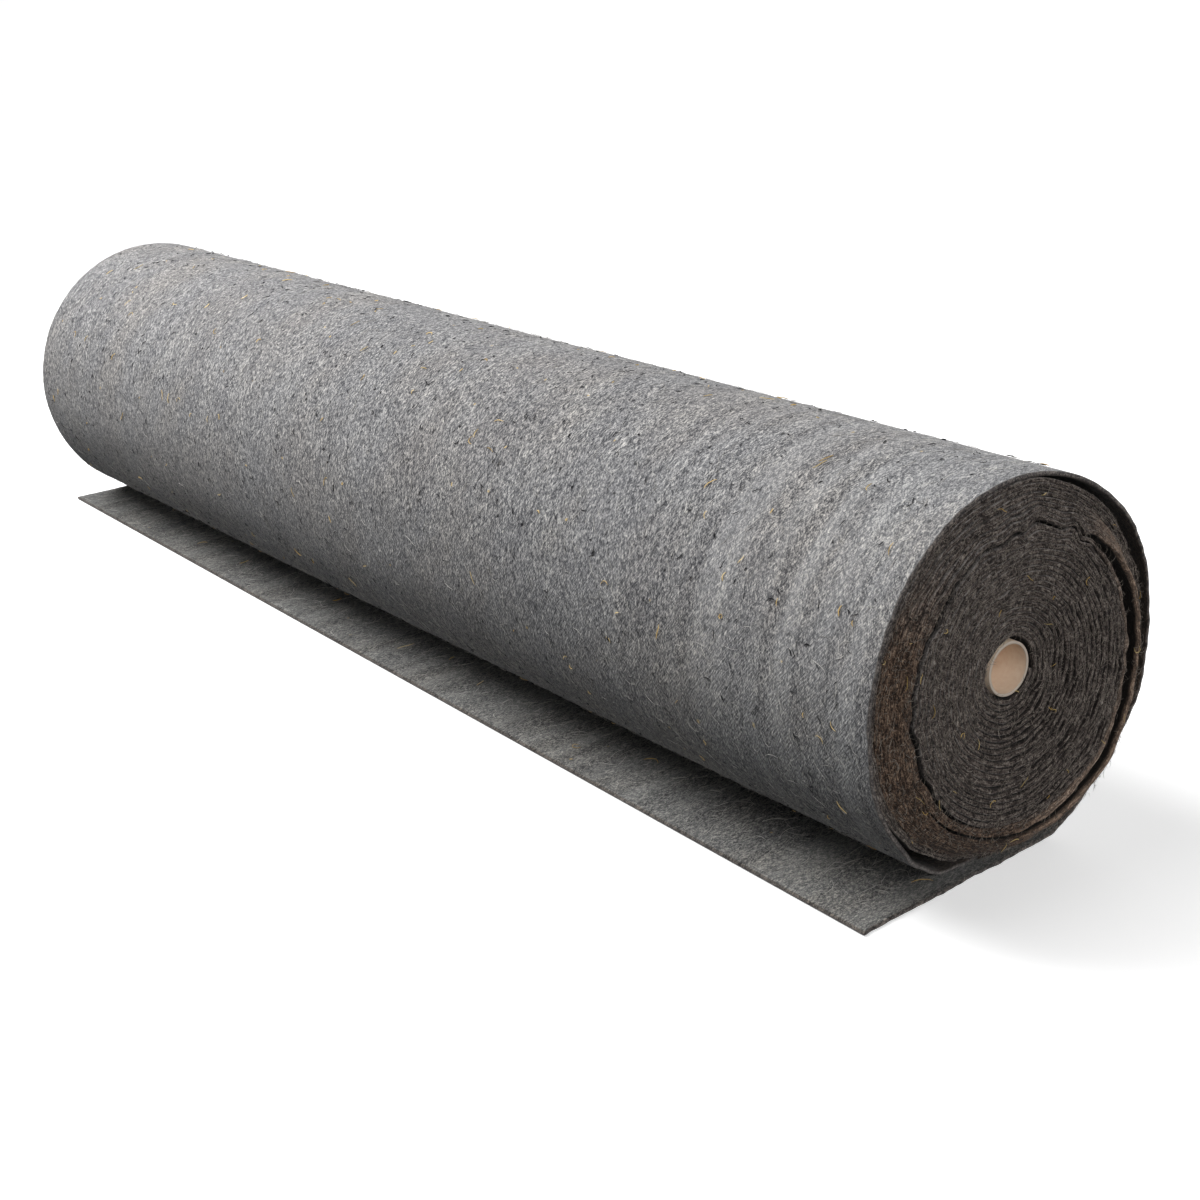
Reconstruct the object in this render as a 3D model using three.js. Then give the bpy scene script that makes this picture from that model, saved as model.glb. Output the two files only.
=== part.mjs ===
// A roll of painters fleece lying on its side: the cardboard core, the wound fleece,
// and the loose end, which is the slack last turn with the tail that lies on the floor.
// Millimetres. X runs along the roll, Z is up, and the tail points towards -Y.

import * as THREE from 'three';

// Driving dimensions
const ROLL_WIDTH = 1000;
const SHEET = 2.6; // thickness of the fleece
const GAP = 0.3; // clear space between two pieces
const WOUND_RADIUS = 105; // the tight windings, measured under the last turn
const FLAT_WIDTH = 36; // flat spot on which the windings rest
const CORE_RADIUS = 14.8;
const CORE_WALL = 1.6;
const CORE_RISE = 6; // the core sits this much above the middle of the windings
const CORE_SET_BACK = 5; // the core's ends lie inside the ends of the roll

// The tail on the floor, from its cut front edge to the line where it lifts off behind the roll
const TAIL_FRONT = { near: -102, far: -86 };
const TAIL_LIFT = { near: 49, far: 41 };
const LIFT_BEND = 6; // how far the sheet goes on level before it turns up
const RAMP_REACH = 22; // how gently the ramp runs into the turn

// Heights of the stack under the roll: floor, tail, last turn, windings
const TURN_FLOOR = SHEET + GAP;
const WINDING_FLOOR = 2 * TURN_FLOOR;
const AXIS_HEIGHT = WINDING_FLOOR + Math.sqrt(WOUND_RADIUS ** 2 - (FLAT_WIDTH / 2) ** 2);

// Angles turn from the back (+Y) over the top. The windings end at the bottom, and
// the last turn covers them from the ramp behind the roll round to the bottom again.
const SEAM_ANGLE = -90;
const TURN_START = -42;
const TURN_END = 270;

// Unevenness round the roll. dent is how far the windings stand inside their radius,
// and slack is the clear space that the last turn leaves over them.
const OUTLINE = [
  { angle: -90, dentNear: 0, dentFar: 0, slackNear: 0.4, slackFar: 0.4 },
  { angle: -42, dentNear: 2, dentFar: 0.8, slackNear: 7.6, slackFar: 4.6 },
  { angle: -17, dentNear: 5, dentFar: 1.8, slackNear: 8.2, slackFar: 4.0 },
  { angle: 0, dentNear: 6.5, dentFar: 2.2, slackNear: 7.0, slackFar: 2.8 },
  { angle: 30, dentNear: 5.5, dentFar: 1.8, slackNear: 6.4, slackFar: 2.4 },
  { angle: 60, dentNear: 3, dentFar: 1, slackNear: 3.4, slackFar: 1.4 },
  { angle: 90, dentNear: 0.4, dentFar: 0.2, slackNear: 0.6, slackFar: 0.5 },
  { angle: 135, dentNear: 0.8, dentFar: 0.3, slackNear: 0.5, slackFar: 0.5 },
  { angle: 180, dentNear: 2, dentFar: 0.5, slackNear: 0.7, slackFar: 1.0 },
  { angle: 205, dentNear: 2.2, dentFar: 0.8, slackNear: 1.4, slackFar: 1.2 },
  { angle: 225, dentNear: 5.5, dentFar: 1.8, slackNear: 3.8, slackFar: 2.2 },
  { angle: 240, dentNear: 7, dentFar: 1.8, slackNear: 5.5, slackFar: 2 },
  { angle: 255, dentNear: 5, dentFar: 0.6, slackNear: 7.4, slackFar: 0.8 },
  { angle: 270, dentNear: 1.2, dentFar: 0, slackNear: 0.4, slackFar: 0.4 },
];

// How far the sheet's two side edges have wandered along the roll, on the last turn
const EDGE_DRIFT = [
  { angle: -42, near: -11, far: -13 },
  { angle: -17, near: -5, far: -6 },
  { angle: 0, near: -3, far: -3 },
  { angle: 45, near: 0.5, far: 0 },
  { angle: 100, near: -1, far: -1 },
  { angle: 180, near: 2.5, far: 1 },
  { angle: 215, near: 3, far: 2 },
  { angle: 256, near: -20, far: -19 },
  { angle: 270, near: -20, far: -19 },
];
// and on the tail, where they run a little askew
const TAIL_DRIFT = {
  front: { near: -3, far: -7 },
  lift: { near: -16.5, far: -20 },
};

// How far the outermost windings have wandered along the roll with it. It fades out
// from the outside to the fade radius.
const WINDING_DRIFT = [
  { angle: -90, along: -19 },
  { angle: -60, along: -12 },
  { angle: -30, along: -5 },
  { angle: 0, along: -1 },
  { angle: 30, along: 0 },
  { angle: 215, along: 0 },
  { angle: 240, along: -8 },
  { angle: 270, along: -19 },
];
const FADE_RADIUS = 86;

// How far each ring of windings stands out of the two ends of the roll
const END_RELIEF = [
  { radius: CORE_RADIUS + GAP, near: -5, far: -5 },
  { radius: 30, near: -2.5, far: -3 },
  { radius: 52, near: 1.5, far: 0.5 },
  { radius: 70, near: 4, far: 2 },
];
const OUTER_RELIEF = [
  { radius: 92, near: 1, far: 1 },
  { radius: 98, near: -1.5, far: -0.5 },
  { radius: WOUND_RADIUS, near: -1, far: 0 },
];

// The open joint between the tight inner roll and its looser outer turns. It is
// widest, and furthest out, at the back.
const CRACK = {
  radius: 82.5,
  offset: 4,
  width: 2.8,
  widthChange: 1.6,
  widestAngle: -20,
  depth: 14,
  near: { inside: 5, outside: 3 },
  far: { inside: 2.5, outside: 1.5 },
};

// Fineness of the shapes
const WOUND_COLUMNS = 96;
const WOUND_ROWS = 6;
const CORE_COLUMNS = 48;
const TAIL_STEPS = 6;
const RAMP_STEPS = 8;
const TURN_STEPS = 84;
const ACROSS_STEPS = 10;
const STEP_ANGLE = 0.02; // width of the winding's step at its seam, in degrees

const radians = THREE.MathUtils.degToRad;
const lerp = THREE.MathUtils.lerp;

// Value of a table's column at an angle, eased from row to row
function tableValue(table, column, angle) {
  const last = table.length - 1;
  const at = THREE.MathUtils.clamp(angle, table[0].angle, table[last].angle);
  let row = 0;
  while (row < last - 1 && at > table[row + 1].angle) {
    row += 1;
  }
  const from = table[row];
  const to = table[row + 1];
  const share = THREE.MathUtils.smoothstep(at, from.angle, to.angle);
  return lerp(from[column], to[column], share);
}

// Radius of the windings at an angle, at a place from 0 (far end) to 1 (near end).
// It falls by one thickness of fleece over the turn that starts at the seam.
function windingRadius(angle, place) {
  const turned = (angle - SEAM_ANGLE) / 360;
  const dentFar = tableValue(OUTLINE, 'dentFar', angle);
  const dentNear = tableValue(OUTLINE, 'dentNear', angle);
  return WOUND_RADIUS + (SHEET + GAP) * (1 - turned) - lerp(dentFar, dentNear, place ** 2);
}

// Radius of the middle of the last turn's sheet
function turnRadius(angle, place) {
  const slackFar = tableValue(OUTLINE, 'slackFar', angle);
  const slackNear = tableValue(OUTLINE, 'slackNear', angle);
  return windingRadius(angle, place) + lerp(slackFar, slackNear, place ** 2) + SHEET / 2;
}

function material(name, color, roughness) {
  const result = new THREE.MeshStandardMaterial({ color, roughness, metalness: 0 });
  result.name = name;
  return result;
}

// The cardboard tube on which the fleece is wound
function makeCore() {
  const half = ROLL_WIDTH / 2 - CORE_SET_BACK;
  const inner = CORE_RADIUS - CORE_WALL;
  const wall = [
    new THREE.Vector2(inner, -half),
    new THREE.Vector2(CORE_RADIUS, -half),
    new THREE.Vector2(CORE_RADIUS, half),
    new THREE.Vector2(inner, half),
    new THREE.Vector2(inner, -half),
  ];
  const geometry = new THREE.LatheGeometry(wall, CORE_COLUMNS);
  geometry.rotateZ(-Math.PI / 2);
  geometry.translate(0, 0, AXIS_HEIGHT + CORE_RISE);
  return geometry;
}

function crackEdge(angle, side) {
  const turn = Math.cos(radians(angle - CRACK.widestAngle));
  const width = CRACK.width + CRACK.widthChange * turn;
  return CRACK.radius + CRACK.offset * turn + (side * width) / 2;
}

// One end of the winding's section, from the core outwards. crack says on which side
// of the open joint a point lies, for the points that follow it round.
function endSection(end) {
  const sign = end === 'near' ? 1 : -1;
  const face = (sign * ROLL_WIDTH) / 2;
  const level = CRACK[end];
  const point = (radius, out, crack = 0) => ({ radius, x: face + sign * out, crack });
  return [
    ...END_RELIEF.map((row) => point(row.radius, row[end])),
    point(CRACK.radius, level.inside, -1),
    point(CRACK.radius, level.inside - CRACK.depth, -1),
    point(CRACK.radius, level.inside - CRACK.depth, 1),
    point(CRACK.radius, level.outside, 1),
    ...OUTER_RELIEF.map((row) => point(row.radius, row[end])),
  ];
}

// The wound fleece: a turned section, then bent to its uneven outline
function makeWinding() {
  const near = endSection('near');
  const far = endSection('far');
  const outside = [];
  for (let row = 1; row < WOUND_ROWS; row += 1) {
    const x = lerp(-ROLL_WIDTH / 2, ROLL_WIDTH / 2, row / WOUND_ROWS);
    outside.push({ radius: WOUND_RADIUS, x, crack: 0 });
  }
  const section = [near[0], ...far, ...outside, ...near.reverse()];
  const outline = section.map((point) => new THREE.Vector2(point.radius, point.x));
  const geometry = new THREE.LatheGeometry(outline, WOUND_COLUMNS + 1);
  const position = geometry.getAttribute('position');
  for (let column = 0; column <= WOUND_COLUMNS + 1; column += 1) {
    const angle = columnAngle(column);
    section.forEach((point, row) => {
      const [x, y, z] = windingPoint(point, angle);
      position.setXYZ(column * section.length + row, x, y, z);
    });
  }
  return geometry;
}

// The first column stands on the seam's low side, the second just past its step
function columnAngle(column) {
  if (column === 0) {
    return SEAM_ANGLE + 360;
  }
  return SEAM_ANGLE + Math.max(((column - 1) / WOUND_COLUMNS) * 360, STEP_ANGLE);
}

function windingPoint(point, angle) {
  const place = THREE.MathUtils.clamp(point.x / ROLL_WIDTH + 0.5, 0, 1);
  const base = point.crack ? crackEdge(angle, point.crack) : point.radius;
  const outward = (base - CORE_RADIUS) / (WOUND_RADIUS - CORE_RADIUS);
  const change = windingRadius(angle, place) - WOUND_RADIUS;
  const radius = base + change * outward ** 6;
  const rise = CORE_RISE * (1 - outward);
  const floor = angle < SEAM_ANGLE + 180 ? TURN_FLOOR : WINDING_FLOOR;
  const drifted = THREE.MathUtils.smoothstep(base, FADE_RADIUS, WOUND_RADIUS);
  const x = point.x + drifted * tableValue(WINDING_DRIFT, 'along', angle);
  const y = radius * Math.cos(radians(angle));
  const z = AXIS_HEIGHT + rise + radius * Math.sin(radians(angle));
  return [x, y, Math.max(z, floor)];
}

// Middle line of the loose sheet at a place along the roll, from the tail's front edge
// to the end under the roll, with the side edges' drift at each step
function sheetLine(place) {
  const tail = tailLine(place);
  const turn = turnLine(place);
  return [...tail, ...rampLine(tail[tail.length - 1], turn), ...turn];
}

function tailLine(place) {
  const front = lerp(TAIL_FRONT.far, TAIL_FRONT.near, place);
  const lift = lerp(TAIL_LIFT.far, TAIL_LIFT.near, place);
  const driftFront = lerp(TAIL_DRIFT.front.far, TAIL_DRIFT.front.near, place);
  const driftLift = lerp(TAIL_DRIFT.lift.far, TAIL_DRIFT.lift.near, place);
  const line = [];
  for (let step = 0; step <= TAIL_STEPS; step += 1) {
    const share = step / TAIL_STEPS;
    line.push({ y: lerp(front, lift, share), z: SHEET / 2, drift: lerp(driftFront, driftLift, share) });
  }
  return line;
}

function turnLine(place) {
  const line = [];
  for (let step = 0; step <= TURN_STEPS; step += 1) {
    const angle = lerp(TURN_START, TURN_END, step / TURN_STEPS);
    const radius = turnRadius(angle, place);
    const drift = lerp(
      tableValue(EDGE_DRIFT, 'far', angle),
      tableValue(EDGE_DRIFT, 'near', angle),
      place,
    );
    const y = step === TURN_STEPS ? -GAP : radius * Math.cos(radians(angle));
    const z = Math.max(AXIS_HEIGHT + radius * Math.sin(radians(angle)), TURN_FLOOR + SHEET / 2);
    line.push({ y, z, drift });
  }
  return line;
}

// The sheet's rise off the floor behind the roll
function rampLine(lift, turn) {
  const [start, next] = turn;
  const ahead = new THREE.Vector2(next.y - start.y, next.z - start.z).normalize();
  const curve = new THREE.CubicBezierCurve(
    new THREE.Vector2(lift.y, lift.z),
    new THREE.Vector2(lift.y + LIFT_BEND, lift.z),
    new THREE.Vector2(start.y - RAMP_REACH * ahead.x, start.z - RAMP_REACH * ahead.y),
    new THREE.Vector2(start.y, start.z),
  );
  const line = [];
  for (let step = 1; step < RAMP_STEPS; step += 1) {
    const share = step / RAMP_STEPS;
    const point = curve.getPoint(share);
    line.push({ y: point.x, z: point.y, drift: lerp(lift.drift, start.drift, share) });
  }
  return line;
}

// Direction across the sheet's thickness at a step, towards the inside of the roll
function sheetNormal(line, step) {
  const before = line[Math.max(step - 1, 0)];
  const after = line[Math.min(step + 1, line.length - 1)];
  return new THREE.Vector2(before.z - after.z, after.y - before.y).normalize();
}

// The loose end: one flat sheet, bent along its middle line
function makeLooseEnd() {
  const lines = [];
  for (let across = 0; across <= ACROSS_STEPS; across += 1) {
    lines.push(sheetLine(across / ACROSS_STEPS));
  }
  const steps = lines[0].length - 1;
  const geometry = new THREE.BoxGeometry(1, 1, 1, steps, 1, ACROSS_STEPS);
  const position = geometry.getAttribute('position');
  for (let index = 0; index < position.count; index += 1) {
    const step = Math.round((position.getX(index) + 0.5) * steps);
    const place = position.getZ(index) + 0.5;
    const line = lines[Math.round(place * ACROSS_STEPS)];
    const normal = sheetNormal(line, step);
    const side = position.getY(index) * SHEET;
    const x = (place - 0.5) * ROLL_WIDTH + line[step].drift;
    position.setXYZ(index, x, line[step].y + side * normal.x, line[step].z + side * normal.y);
  }
  return geometry;
}

const pieces = [
  ['cardboard_core', makeCore(), material('cardboard', 0xd8c9b8, 0.85)],
  ['wound_fleece', makeWinding(), material('fleece', 0x55514e, 0.95)],
  ['loose_end', makeLooseEnd(), material('fleece', 0x6f6f70, 0.95)],
];

const roll = new THREE.Group();
roll.name = 'fleece_roll';
for (const [name, geometry, finish] of pieces) {
  const mesh = new THREE.Mesh(geometry, finish);
  mesh.name = name;
  roll.add(mesh);
}

// The origin is on the floor, under the middle of the roll's box
const box = new THREE.Box3().setFromObject(roll);
const middle = box.getCenter(new THREE.Vector3());
roll.position.set(-middle.x, -middle.y, 0);

export default roll;
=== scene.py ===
import math

import bpy
import numpy as np
from mathutils import Matrix, Vector


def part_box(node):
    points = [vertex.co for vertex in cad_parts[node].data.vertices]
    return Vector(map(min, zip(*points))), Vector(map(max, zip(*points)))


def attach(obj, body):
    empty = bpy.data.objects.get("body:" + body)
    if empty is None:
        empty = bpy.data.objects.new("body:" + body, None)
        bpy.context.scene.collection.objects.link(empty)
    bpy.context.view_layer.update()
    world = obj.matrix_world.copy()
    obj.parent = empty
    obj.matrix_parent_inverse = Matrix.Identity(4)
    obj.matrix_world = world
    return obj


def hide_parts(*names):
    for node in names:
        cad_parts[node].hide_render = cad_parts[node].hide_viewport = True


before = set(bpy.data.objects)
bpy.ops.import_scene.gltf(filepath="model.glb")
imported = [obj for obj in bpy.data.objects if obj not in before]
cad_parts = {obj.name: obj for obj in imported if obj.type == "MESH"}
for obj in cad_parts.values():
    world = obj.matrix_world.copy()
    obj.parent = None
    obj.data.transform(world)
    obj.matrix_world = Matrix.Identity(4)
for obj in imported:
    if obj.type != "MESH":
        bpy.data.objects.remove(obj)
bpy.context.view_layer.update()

# A roll of painters fleece lying on its side. Lengths are in millimetres up to the point
# where a piece is placed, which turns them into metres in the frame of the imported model.
# Angles are in degrees and turn from the back of the roll (+Y) over its top.
MM = 0.001

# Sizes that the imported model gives
core_low, core_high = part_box("cardboard_core")
MIDDLE_X = (core_low.x + core_high.x) / 2 / MM
AXIS_Y = (core_low.y + core_high.y) / 2 / MM
CORE_HEIGHT = (core_low.z + core_high.z) / 2 / MM
CORE_RADIUS = (core_high.z - core_low.z) / 2 / MM
CORE_LENGTH = (core_high.x - core_low.x) / MM

# Sizes shared with the solids
CORE_SET_BACK = 5  # of the core's ends from the roll's ends
CORE_WALL = 1.6
CORE_RISE = 6  # of the core over the middle of the outer turns
ROLL_WIDTH = CORE_LENGTH + 2 * CORE_SET_BACK
HALF_WIDTH = ROLL_WIDTH / 2
AXIS_HEIGHT = CORE_HEIGHT - CORE_RISE
SHEET = 2.6  # the fleece's thickness
GAP = 0.3
WOUND_RADIUS = 105
TURN_PITCH = SHEET + GAP
TURN_FLOOR = SHEET + GAP
SEAM_ANGLE = -90
TURN_START = -42  # of the slack last turn, which goes up behind the roll and over it
TURN_END = 270
TAIL_FRONT = {"near": -102, "far": -86}  # where the tail's cut edge lies on the floor
TAIL_LIFT = {"near": 49, "far": 41}  # where it leaves the floor behind the roll
LIFT_BEND = 6
RAMP_REACH = 22
TAIL_DRIFT_FRONT = {"near": -3, "far": -7}
TAIL_DRIFT_LIFT = {"near": -16.5, "far": -20}


def table(columns, *rows):
    """Rows of numbers, each found by its column's name."""
    return [dict(zip(columns.split(), row)) for row in rows]


# How far the windings stand inside their radius, and the clear space under the last turn
OUTLINE = table(
    "angle dent_near dent_far slack_near slack_far",
    (-90, 0, 0, 0.4, 0.4),
    (-42, 2, 0.8, 7.6, 4.6),
    (-17, 5, 1.8, 8.2, 4),
    (0, 6.5, 2.2, 7, 2.8),
    (30, 5.5, 1.8, 6.4, 2.4),
    (60, 3, 1, 3.4, 1.4),
    (90, 0.4, 0.2, 0.6, 0.5),
    (135, 0.8, 0.3, 0.5, 0.5),
    (180, 2, 0.5, 0.7, 1),
    (205, 2.2, 0.8, 1.4, 1.2),
    (225, 5.5, 1.8, 3.8, 2.2),
    (240, 7, 1.8, 5.5, 2),
    (255, 5, 0.6, 7.4, 0.8),
    (270, 1.2, 0, 0.4, 0.4),
)

# How far the last turn's side edges have wandered along the roll
EDGE_DRIFT = table(
    "angle near far",
    (-42, -11, -13),
    (-17, -5, -6),
    (0, -3, -3),
    (45, 0.5, 0),
    (100, -1, -1),
    (180, 2.5, 1),
    (215, 3, 2),
    (256, -20, -19),
    (270, -20, -19),
)

# How far the outermost windings have wandered with it, and the radius where that fades out
WINDING_DRIFT = table(
    "angle along",
    (-90, -19),
    (-60, -12),
    (-30, -5),
    (0, -1),
    (30, 0),
    (215, 0),
    (240, -8),
    (270, -19),
)
FADE_RADIUS = 90

# How far each ring of windings stands out of the roll's two ends
END_RELIEF = table(
    "radius near far",
    (15, -5, -5),
    (30, -2.5, -3),
    (52, 1.5, 0.5),
    (70, 4, 2),
    (84, 4.6, 2.3),
    (92, 1, 1),
    (98, -1.5, -0.5),
    (105, -1, 0),
)

# The windings' bulges near the joint between the tight roll and its looser outer turns
BULGE = table(
    "angle out",
    (-90, 0.3),
    (-63, 1.5),
    (-42, 4.5),
    (-20, 3),
    (10, 2.5),
    (45, 0),
    (70, 1.2),
    (84, 3),
    (102, -0.3),
    (120, 2.4),
    (135, 0.4),
    (165, 0.2),
    (205, -1.2),
    (240, -0.8),
    (270, 0.3),
)
BULGE_RADIUS = 82
BULGE_REACH = 16
BULGE_WIGGLE = 1.1  # how far the joint wanders on its way up the left side
WIGGLE_ANGLES = (30, 60, 190, 230)

# Two open joints between windings. layer counts the windings outside the joint, and
# from the seam on its next turn it counts one more.
THIN_JOINT = table(
    "angle width",
    (30, 0),
    (50, 0.8),
    (110, 2.2),
    (150, 3.8),
    (185, 3.6),
    (220, 2.4),
    (255, 0),
)
THIN_JOINT_LAYER = 9
WIDE_JOINT = table(
    "angle width",
    (-90, 2.4),
    (-40, 4.4),
    (10, 5.6),
    (40, 4.8),
    (68, 0),
    (190, 0),
    (240, 1.4),
    (270, 2.4),
)
WIDE_JOINT_LAYER = 7
JOINT_TURNOVER = 110  # angle past which the wide joint lies one layer further out
JOINT_REACH = 14
FAR_SHARE = 0.4  # how much of the bulges and the joints the far end has

LAYER_PITCH = 2.974  # of the wound layers, from one turn to the next
LAYER_GAP = 0.26
LAYER_STEP = 2.8  # length of a step along the wound sheet
LONGEST_STEP = 0.014  # of a turn, near the core
UNEVEN_LAYERS = 0.55
UNEVEN_RADII = (20, 34, 92, 104)  # where that eases in and out


def eased(table, column, value, key="angle"):
    """Values of a table's column at the given places, eased from row to row."""
    places = np.array([row[key] for row in table], float)
    levels = np.array([row[column] for row in table], float)
    value = np.clip(value, places[0], places[-1])
    row = np.clip(np.searchsorted(places, value, side="right") - 1, 0, len(places) - 2)
    share = (value - places[row]) / (places[row + 1] - places[row])
    share = share * share * (3 - 2 * share)
    return levels[row] + (levels[row + 1] - levels[row]) * share


def smooth_step(value, low, high):
    """Rises from 0 at low to 1 at high."""
    share = np.clip((value - low) / (high - low), 0, 1)
    return share * share * (3 - 2 * share)


def inside_band(value, band):
    """1 between the band's two middle values, eased to 0 at its outer ones."""
    return smooth_step(value, band[0], band[1]) * (1 - smooth_step(value, band[2], band[3]))


def ripple(value, period, seed, waves=6):
    """An uneven wave of about unit height and the given period."""
    random = np.random.default_rng(seed)
    total = 0
    for _ in range(waves):
        length = period * random.uniform(0.55, 1.9)
        total = total + np.sin(2 * math.pi * (value / length + random.uniform()))
    return total / math.sqrt(waves)


def ripple_2d(u, v, period_u, period_v, seed, waves=8):
    """An uneven height over a surface, of about unit height."""
    random = np.random.default_rng(seed)
    total = 0
    for _ in range(waves):
        turn = random.uniform(-1, 1)
        along = u / period_u * turn + v / period_v * math.sqrt(1 - turn * turn)
        total = total + np.sin(2 * math.pi * (along * random.uniform(0.6, 1.7) + random.uniform()))
    return total / math.sqrt(waves)


def placed(x, y, z):
    """Points in the model's frame, in metres, from millimetres about the roll's axis."""
    points = np.stack(np.broadcast_arrays(x + MIDDLE_X, y + AXIS_Y, z), axis=-1)
    return points.reshape(-1, 3) * MM


def clear_selection():
    if bpy.context.object and bpy.context.object.mode == "EDIT":
        bpy.ops.object.mode_set(mode="OBJECT")
    bpy.ops.object.select_all(action="DESELECT")


def make_grid(name, columns, rows):
    """A flat grid of columns by rows of points, ready to be shaped."""
    clear_selection()
    bpy.ops.mesh.primitive_grid_add(x_subdivisions=columns - 1, y_subdivisions=rows - 1, size=2)
    piece = bpy.context.object
    piece.name = name
    piece.data.name = name
    return piece


def shape_grid(piece, columns, rows, points):
    """Moves a grid's points to points[column, row]."""
    flat = np.empty(columns * rows * 3)
    piece.data.vertices.foreach_get("co", flat)
    flat = flat.reshape(-1, 3)
    column = np.rint((flat[:, 0] + 1) / 2 * (columns - 1)).astype(int)
    row = np.rint((flat[:, 1] + 1) / 2 * (rows - 1)).astype(int)
    piece.data.vertices.foreach_set("co", points[column, row].ravel())
    piece.data.update()
    return column, row


def finish_modifiers(piece):
    bpy.context.view_layer.objects.active = piece
    for modifier in list(piece.modifiers):
        bpy.ops.object.modifier_apply(modifier=modifier.name)


def face_outwards(piece, close=True):
    """Merges doubled points, closes open ends if asked and turns every face outwards."""
    clear_selection()
    piece.select_set(True)
    bpy.context.view_layer.objects.active = piece
    bpy.ops.object.mode_set(mode="EDIT")
    bpy.ops.mesh.select_all(action="SELECT")
    bpy.ops.mesh.remove_doubles(threshold=0.000001)
    if close:
        bpy.ops.mesh.fill_holes(sides=0)
    bpy.ops.mesh.normals_make_consistent(inside=False)
    bpy.ops.object.mode_set(mode="OBJECT")


def add_measure(piece, name, values):
    """Gives each point of a piece a number, or three, for its material to read."""
    values = np.asarray(values, float)
    kind, slot = ("FLOAT_VECTOR", "vector") if values.ndim == 2 else ("FLOAT", "value")
    layer = piece.data.attributes.new(name, kind, "POINT")
    layer.data.foreach_set(slot, values.ravel())


def add_cloth_map(piece, across, along):
    """A UV map in metres of cloth: across the sheet and along it."""
    corners = np.empty(len(piece.data.loops), int)
    piece.data.loops.foreach_get("vertex_index", corners)
    for old in list(piece.data.uv_layers):
        piece.data.uv_layers.remove(old)
    layer = piece.data.uv_layers.new(name="cloth")
    layer.data.foreach_set("uv", np.stack([across, along], 1)[corners].ravel())


# The wound fleece: one sheet wound from the seam under the roll in to the core
def layer_turns():
    """Turns inwards from the seam at each step along the wound sheet."""
    outermost = WOUND_RADIUS + TURN_PITCH
    last = (outermost - LAYER_PITCH - CORE_RADIUS - GAP) / LAYER_PITCH
    turns = [0.0]
    while turns[-1] < last:
        radius = outermost - LAYER_PITCH * turns[-1]
        turns.append(turns[-1] + min(LAYER_STEP / (2 * math.pi * radius), LONGEST_STEP))
    return np.array(turns)


def layer_surface(base, layer, angle, end):
    """Radius of a layer's surface whose even radius is base, at one end of the roll."""
    outward = (base - CORE_RADIUS) / (WOUND_RADIUS - CORE_RADIUS)
    radius = base - eased(OUTLINE, "dent_" + end, angle) * outward**6
    strength = 1 if end == "near" else FAR_SHARE
    hump = np.exp(-(((base - BULGE_RADIUS) / BULGE_REACH) ** 2))
    radius = radius + strength * hump * eased(BULGE, "out", angle)
    wiggle = BULGE_WIGGLE * ripple(angle, period=13, seed=17) * inside_band(angle, WIGGLE_ANGLES)
    radius = radius + strength * hump**3 * wiggle
    uneven = ripple_2d(base, angle, period_u=16, period_v=60 / 0.9, seed=11)
    radius = radius + UNEVEN_LAYERS * uneven * inside_band(base, UNEVEN_RADII)
    for table, count, turnover in (
        (THIN_JOINT, THIN_JOINT_LAYER, None),
        (WIDE_JOINT, WIDE_JOINT_LAYER, JOINT_TURNOVER),
    ):
        outside = np.full_like(base, count)
        if turnover is not None:
            outside = outside + (angle < turnover)
        turn = outside + (angle - SEAM_ANGLE) / 360
        joint_base = WOUND_RADIUS + TURN_PITCH - LAYER_PITCH * turn
        side = np.where(layer < outside, 1, -1)
        fade = np.exp(-np.abs(base - joint_base) / JOINT_REACH)
        radius = radius + strength * side * fade * eased(table, "width", angle) / 2
    return radius


# Profile of a layer's cut edge: share of the thickness from outside to inside, and set back
LAYER_PROFILE = [(0, 1), (0.06, 0.5), (0.24, 0.1), (0.5, 0), (0.76, 0.1), (0.94, 0.5), (1, 1)]
# Where the layers' cut edges have felted together: radii and angles, eased in and out
LEFT_RADII = (79, 82, 100, 103)
LEFT_ANGLES = (122, 165, 266, 292)
RIGHT_RADII = (82, 85, 98, 101)
RIGHT_ANGLES = (-98, -70, 34, 62)
RIGHT_BAND_RISE = 3.4  # of the right band's inner side, which slopes down between two radii
RIGHT_BAND_SLOPE = (86, 97)
# Elsewhere they are felted in patches, and lie more open below the core
PATCH_SIZE = 26
PATCH_LEVEL = 0.3
PATCH_SWING = 0.34
OPENING = 0.7
OPEN_ANGLES = (200, 235, 315, 350)
OPEN_RADII = (34, 54)
# How much of a layer's gap, of its rounding and of its waves is lost where it is felted
FELTED_GAP = 0.9
FELTED_ROUNDING = 0.94
FELTED_WAVES = 0.85
# Rounding of a layer's cut edge, and how much that differs along it
ROUNDING = 0.8
ROUNDING_SWING = 0.35
# Waves along a layer's cut edge, period, height and seed, and bumps over the whole end
EDGE_WAVES = ((48, 0.55, 21), (11, 0.3, 31))
END_BUMP = 0.35
END_BUMP_SIZE = 22


def onwards(angle):
    """Angles from the seam to the right side, counted on after those of the left side."""
    return np.where(angle < 60, angle + 360, angle)


def left_band(base, angle):
    """The smooth brown band on the left, from 0 to 1."""
    return inside_band(base, LEFT_RADII) * inside_band(onwards(angle), LEFT_ANGLES)


def right_band(base, angle):
    """The smooth light band on the right, from 0 to 1."""
    return inside_band(base, RIGHT_RADII) * inside_band(angle, RIGHT_ANGLES)


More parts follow.
